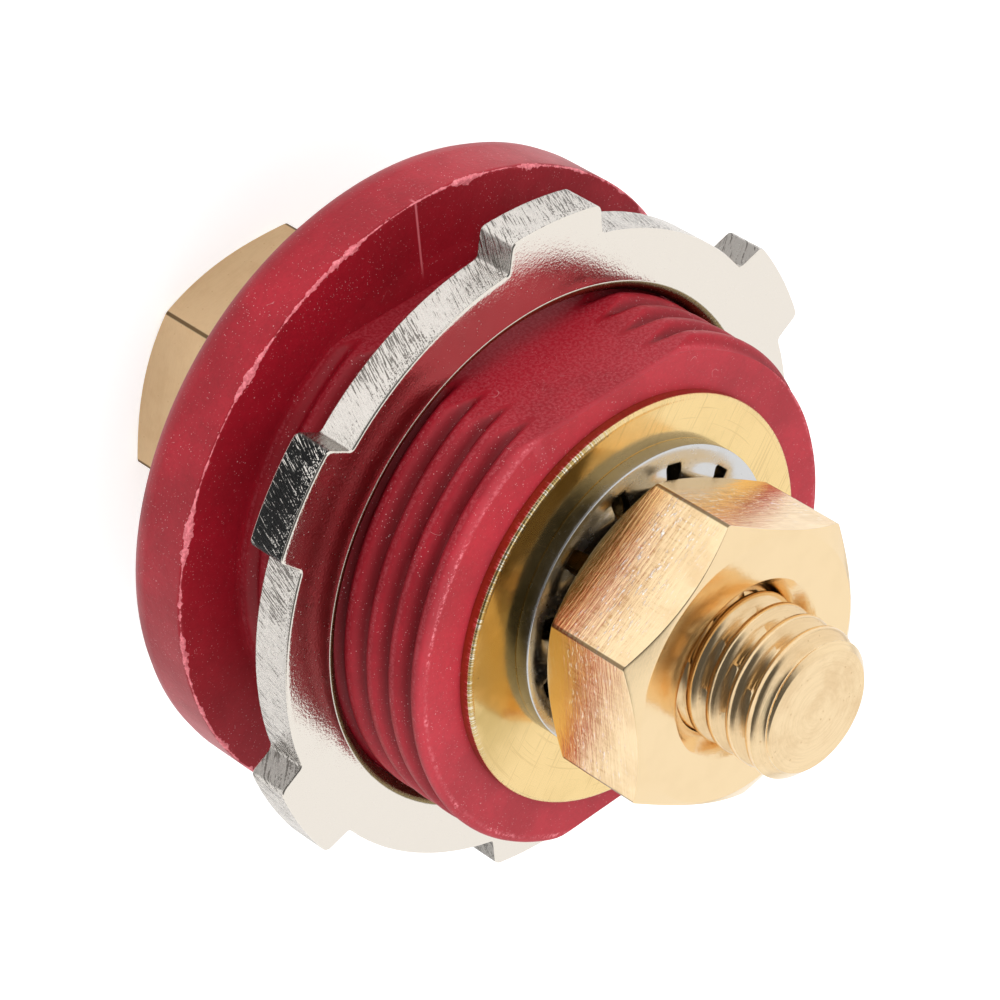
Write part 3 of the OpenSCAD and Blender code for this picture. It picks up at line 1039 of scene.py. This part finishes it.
class POST_OT_locknut(bpy.types.Operator):
    """Make the locknut: a stamped ring with lobes, bevelled at its bore"""
    bl_idname = "post.locknut"
    bl_label = "Make the locknut"

    def outline(self, post):
        """The ring's outer edge, from the gap before the first lobe onwards"""
        root_r = lobe_r - post.lobe_h
        root_half = math.asin(post.root_w / 2 / root_r)
        tip_half = math.asin(post.tip_w / 2 / lobe_r)
        gap_half = math.pi / post.lobes
        fillet = 0.35 * MM
        foot = root_half + 0.002  # where a lobe's fillet has its corner
        beside = root_half + 0.03  # where the plain ring begins
        corners = []
        for lobe in range(post.lobes):
            lobe_turn = post.turn + lobe * 2 * math.pi / post.lobes

            def add(radius, about, soft=0.0, parts=1):
                corners.append((radius * math.cos(lobe_turn + about),
                                radius * math.sin(lobe_turn + about), soft, parts))

            for step in np.linspace(-gap_half, -beside, 9)[:-1]:
                add(root_r, step)
            add(root_r, -foot, fillet, 4)
            add(lobe_r, -tip_half, post.corner)
            for step in np.linspace(-tip_half, tip_half, 8)[1:-1]:
                add(lobe_r, step)
            add(lobe_r, tip_half, post.corner, 4)
            add(root_r, foot, fillet)
            for step in np.linspace(beside, gap_half, 9)[1:-1]:
                add(root_r, step)
        return rounded(corners, 5)

    def execute(self, context):
        post = context.scene.post_locknut
        outline = self.outline(post)
        ahead = np.roll(outline, -1, 0) - np.roll(outline, 1, 0)
        inward = np.stack([-ahead[:, 1], ahead[:, 0]], 1)
        inward /= np.linalg.norm(inward, axis=1)[:, None]
        ray = outline / np.linalg.norm(outline, axis=1)[:, None]
        bevel_r = locknut_bore_r + post.bevel
        rear = 0.12 * MM  # rounding of the rear edge
        soft = 0.05 * MM  # half width of the narrow faces along the bore's bevels

        def edge(inset, height):
            return np.column_stack([outline + inward * inset, np.full(len(outline), height)])

        def bore(radius, height):
            return np.column_stack([ray * radius, np.full(len(ray), height)])

        def between(first, last):
            return [first * (1 - part) + last * part for part in np.linspace(0, 1, 6)]

        def quarter(points):
            return [(1 - math.sin(step), 1 - math.cos(step))
                    for step in np.linspace(0, math.pi / 2, points)]

        rings = [edge(rear * u, locknut_z + rear * v) for u, v in quarter(5)]
        rings += [edge(0.0, height) for height in np.linspace(locknut_z, locknut_top, 7)[1:-1]]
        rings += [edge(post.roll * v, locknut_top - post.roll * u) for u, v in quarter(7)]
        rings += between(edge(post.roll + SPREAD, locknut_top), bore(bevel_r + SPREAD, locknut_top))
        for radius, height in ((bevel_r, locknut_top - 0.02 * MM),
                               (bevel_r - 0.06 * MM, locknut_top - 0.07 * MM),
                               (locknut_bore_r + soft, locknut_top - post.bevel + soft),
                               (locknut_bore_r, locknut_top - post.bevel - soft),
                               (locknut_bore_r, locknut_z + post.bevel + soft),
                               (locknut_bore_r + soft, locknut_z + post.bevel - soft),
                               (bevel_r - soft, locknut_z + soft),
                               (bevel_r, locknut_z)):
            rings.append(bore(radius, height))
        rings += between(bore(bevel_r + SPREAD, locknut_z), edge(rear + SPREAD, locknut_z))
        piece = skin("locknut_plate", np.array(rings))
        piece.data.materials.append(nickel_finish(post))
        tidy_mesh(piece)
        seat(piece, "locknut", "locknut")
        return {"FINISHED"}


class POST_OT_washers(bpy.types.Operator):
    """Make the flat washer and the internal-tooth lock washer"""
    bl_idname = "post.washers"
    bl_label = "Make the washers"

    def execute(self, context):
        post = context.scene.post_washers

        def section(turn):
            return rounded([
                (washer_hole_r, washer_z, 0.1 * MM, 6),
                (washer_r, washer_z, 0.06 * MM, 4),
                (washer_r, washer_top, post.roll, 14),
                (washer_hole_r, washer_top, 0.15 * MM, 3),
            ], 5)

        flat = lathe("washer", even_turns(360), section)
        flat.data.materials.append(washer_brass_finish(post))
        tidy_mesh(flat)
        seat(flat, "post", "flat_washer")
        toothed = self.sector(post)
        apply_tree(toothed, ring_tree(), {"Material": steel_finish(post), "Count": post.teeth,
                                          "Turn": post.turn, "Weld": 0.002 * MM})
        self.thicken(toothed, post)
        tidy_mesh(toothed)
        toothed.data.transform(Matrix.Translation((*lock_centre, 0.0)))
        seat(toothed, "lock_washer", "lock_washer")
        return {"FINISHED"}

    def sector(self, post):
        """One tooth and its stretch of the ring, as a sheet halfway through the metal"""
        band_r = lock_r - post.band
        half_sector = math.pi / post.teeth
        root_half = math.asin(post.root_w / 2 / band_r)
        beside = np.linspace(-half_sector, -root_half, 6)[:-1]
        columns = np.concatenate([beside, np.linspace(-root_half, root_half, 9), -beside[::-1]])
        level = lock_z + post.gauge / 2
        points, faces = [], []
        for radius in np.linspace(lock_r, band_r, 4):
            points += [(radius * math.cos(c), radius * math.sin(c), level) for c in columns]
        width = len(columns)
        for row in range(3):
            for low in range(row * width, (row + 1) * width - 1):
                faces.append((low, low + 1, low + width + 1, low + width))
        above = [3 * width + len(beside) + k for k in range(9)]
        start_x = band_r * math.cos(root_half)
        end_x = tooth_tip_r + 0.02 * MM
        for row in np.linspace(0, 1, 13)[1:]:
            flare = 0.5 * (post.root_w - post.tip_w) * (1 - row) ** 2.2
            half = post.tip_w / 2 + flare
            along = start_x + (end_x - start_x) * row
            rising = min(row / 0.45, 1.0)  # the twist is full at 0.45 of a tooth's length
            rising = rising * rising * (3 - 2 * rising)
            current = []
            for place in np.linspace(-1, 1, 9):
                sideways = place * half
                bulge = (band_r - start_x) * (1 - place * place) * (1 - row)
                lift = (half - sideways) * math.tan(post.twist) * rising
                current.append(len(points))
                points.append((along + bulge, sideways, level + lift))
            for k in range(8):
                faces.append((above[k], above[k + 1], current[k + 1], current[k]))
            above = current
        return new_piece("lock_ring", points, faces)

    def thicken(self, piece, post):
        """Gives the sheet the metal's thickness and softens its edges"""
        solid = piece.modifiers.new("Thickness", "SOLIDIFY")
        solid.thickness = post.gauge
        solid.offset = 0.0
        soft = piece.modifiers.new("Edges", "BEVEL")
        soft.width = 0.09 * MM
        soft.segments = 3
        soft.limit_method = "ANGLE"
        soft.angle_limit = SHARP
        soft.use_clamp_overlap = True
        keep_evaluated(piece)


class POST_OT_stage(bpy.types.Operator):
    """Set the floor, the lamps, the camera and the colour management"""
    bl_idname = "post.stage"
    bl_label = "Set the stage"

    def execute(self, context):
        post = context.scene.post_stage
        scene = context.scene
        self.floor(post)
        self.world(scene, post)
        for name, size, place in (("key", 0.9, (0.05, 0.66, 0.32)),
                                  ("side", 0.9, (-0.5, -0.5, 0.22)),
                                  ("fill", 1.0, (-0.1, 0.0, 0.8))):
            self.lamp(name, getattr(post, name), size, place)
        self.camera(scene, post)
        scene.view_settings.view_transform = "Standard"
        return {"FINISHED"}

    def floor(self, post):
        half = 3.0
        floor = new_piece("floor", [(-half, -half, 0), (half, -half, 0), (half, half, 0),
                                    (-half, half, 0)], [(0, 1, 2, 3)])
        f = Finish("pale_floor")
        matt = f.get("ShaderNodeBsdfPrincipled", {"Base Color": opaque(post.floor),
                                                  "Roughness": 0.9})
        path = f.node("ShaderNodeLightPath").outputs
        seen = f.scaled(path["Is Camera Ray"], 0.6, f.times(path["Is Glossy Ray"], 0.22))
        glow = f.get("ShaderNodeEmission", {"Strength": seen})
        both = f.get("ShaderNodeAddShader", {0: matt, 1: glow})
        f.node("ShaderNodeOutputMaterial", {"Surface": both})
        floor.data.materials.append(f.material)

    def world(self, scene, post):
        """A white tent, seen and mirrored, with a dark opening that only metal mirrors"""
        scene.world = bpy.data.worlds.new("studio")
        scene.world.use_nodes = True
        w = Wiring(scene.world.node_tree)
        w.tree.nodes.clear()
        path = w.node("ShaderNodeLightPath").outputs
        seen = w.most(path["Is Camera Ray"], path["Is Glossy Ray"])
        seen = w.most(seen, path["Is Transmission Ray"])
        lifted = Vector((0.0, -0.906, 0.423))  # 25 degrees over the floor
        open_side = Matrix.Rotation(post.open_turn, 3, "Z") @ lifted
        facing = w.dot(w.coordinates("Generated"), open_side)
        tent = w.spread(facing, 0.4, 0.75, 1.0, post.opening)
        tent = w.most(tent, path["Is Camera Ray"])
        white = opaque((1.0, 1.0, 1.0))
        soft = w.get("ShaderNodeBackground", {"Color": white, "Strength": post.ambient})
        bright = w.get("ShaderNodeBackground", {"Color": white, "Strength": tent})
        mixed = w.get("ShaderNodeMixShader", {0: seen, 1: soft, 2: bright})
        w.node("ShaderNodeOutputWorld", {"Surface": mixed})

    def lamp(self, name, power, size, place):
        """A large soft lamp that lights the post's middle and isn't mirrored in its metal"""
        data = bpy.data.lights.new(name, "AREA")
        data.energy = power
        data.size = size
        lamp = new_object(name, data)
        centre = Vector((0, 0, (flange_z + face_z) / 2))
        lamp.location = place
        lamp.rotation_euler = (centre - Vector(place)).to_track_quat("-Z", "Y").to_euler()
        lamp.visible_glossy = False

    def camera(self, scene, post):
        data = bpy.data.cameras.new("camera")
        data.lens = post.lens
        data.sensor_width = 36.0
        data.clip_start = 0.01
        camera = new_object("camera", data)
        facing = Matrix.Rotation(post.azimuth, 4, "Z")
        tilt = Matrix.Rotation(math.pi / 2 - post.elevation, 4, "X")
        roll = Matrix.Rotation(post.roll, 4, "Z")
        back = Matrix.Translation((0, 0, post.distance))
        camera.matrix_world = Matrix.Translation(Vector(post.aim)) @ facing @ tilt @ roll @ back
        scene.camera = camera


# ---------------------------------------------------------------- panel and registration


OPERATORS = (POST_OT_stage, POST_OT_moulding, POST_OT_bolt, POST_OT_locknut, POST_OT_washers,
             POST_OT_nut)
GROUPS = {"post_stage": PostStage, "post_moulding": PostMoulding, "post_brass": PostBrass,
          "post_locknut": PostLocknut, "post_washers": PostWashers}


class POST_PT_panel(bpy.types.Panel):
    """The binding post's sizes, colours and pieces"""
    bl_label = "Binding post"
    bl_space_type = "VIEW_3D"
    bl_region_type = "UI"
    bl_category = "Binding post"

    def draw(self, context):
        for name, group in GROUPS.items():
            box = self.layout.box()
            box.label(text=group.__doc__)
            for key in group.__annotations__:
                box.prop(getattr(context.scene, name), key)
        for operator in OPERATORS:
            self.layout.operator(operator.bl_idname)


def register():
    for made in (*GROUPS.values(), *OPERATORS, POST_PT_panel):
        bpy.utils.register_class(made)
    for name, group in GROUPS.items():
        setattr(bpy.types.Scene, name, bpy.props.PointerProperty(type=group))


def unregister():
    for name in GROUPS:
        delattr(bpy.types.Scene, name)
    for made in (POST_PT_panel, *OPERATORS, *reversed(GROUPS.values())):
        bpy.utils.unregister_class(made)


def main():
    register()
    for make in (bpy.ops.post.stage, bpy.ops.post.moulding, bpy.ops.post.bolt,
                 bpy.ops.post.locknut, bpy.ops.post.washers, bpy.ops.post.nut):
        make()


if __name__ == "__main__":
    main()
